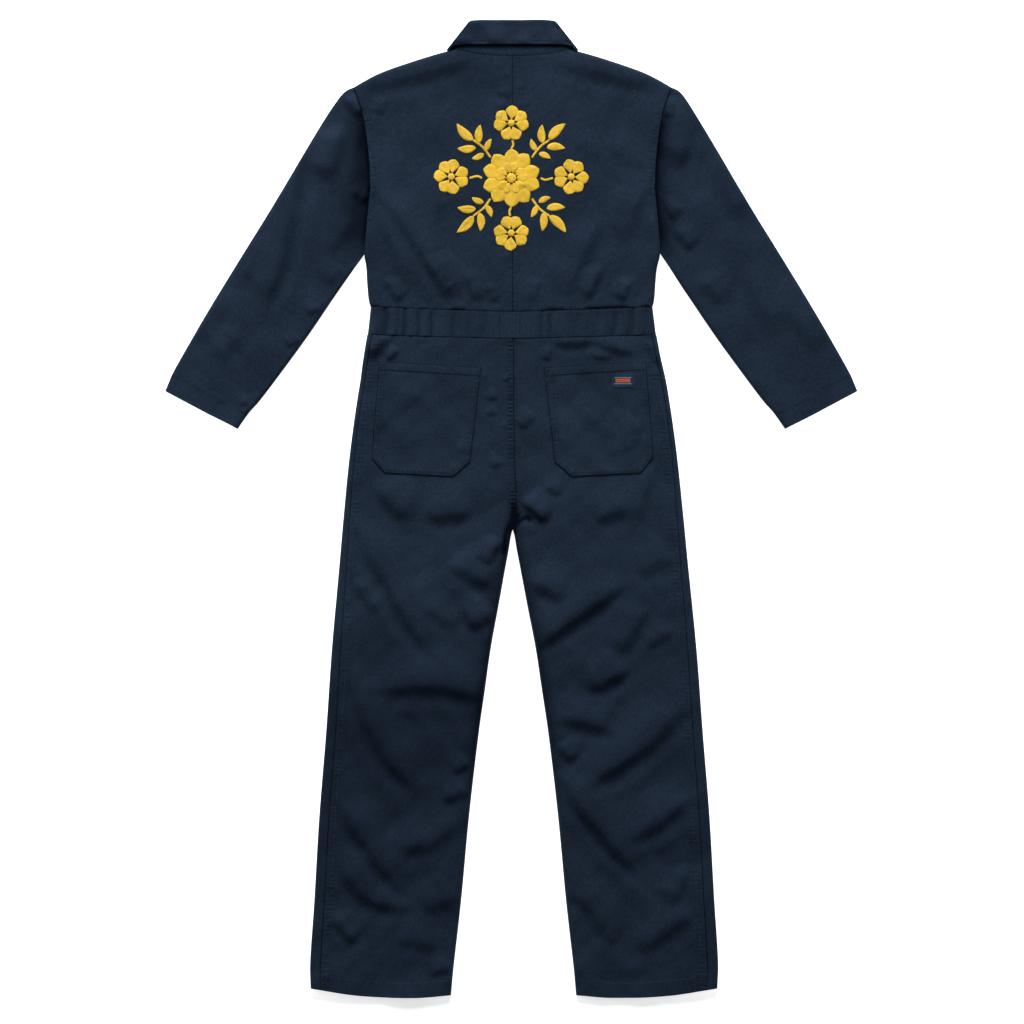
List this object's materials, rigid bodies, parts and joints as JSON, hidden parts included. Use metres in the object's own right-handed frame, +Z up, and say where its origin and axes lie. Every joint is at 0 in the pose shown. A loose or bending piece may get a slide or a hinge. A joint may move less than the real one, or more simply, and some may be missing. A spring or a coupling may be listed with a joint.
{
  "type": "boiler suit",
  "caption": "Long-sleeved one-piece work garment with a turned-down collar, gathered waistband and patch pockets, laid flat with its back up.",
  "frame": {"origin": "on the surface under the middle of the laid-out garment, midway between collar fold and hems, on the centre back seam", "axes": "+Y runs from the hems to the collar, +X to the wearer's right, +Z up off the surface, out of the garment's back"},
  "size_m": [1.128, 1.5952, 0.0133],
  "materials": {
    "twill": "dark navy cotton and polyester twill, piece dyed, pressed, softly creased",
    "woven_patch": "small damask woven patch, navy with plain orange and pale bands",
    "zip_tape": "closely woven zip tape",
    "gold_thread": "gold rayon embroidery thread in satin stitch",
    "navy_thread": "navy sewing thread"
  },
  "bodies": {
    "root": {"back_left": "twill", "back_right": "twill", "front_left": "twill", "front_right": "twill", "sleeve_left": "twill", "sleeve_right": "twill", "waistband_back": "twill", "waistband_front_left": "twill", "waistband_front_right": "twill", "leg_back_left": "twill", "leg_back_right": "twill", "leg_front_left": "twill", "leg_front_right": "twill", "pocket_left": "twill", "pocket_right": "twill", "collar_stand": "twill", "collar_leaf": "twill", "front_placket": "twill", "pocket_label": "woven_patch", "zip_tape": "zip_tape"}
  },
  "joints": []
}
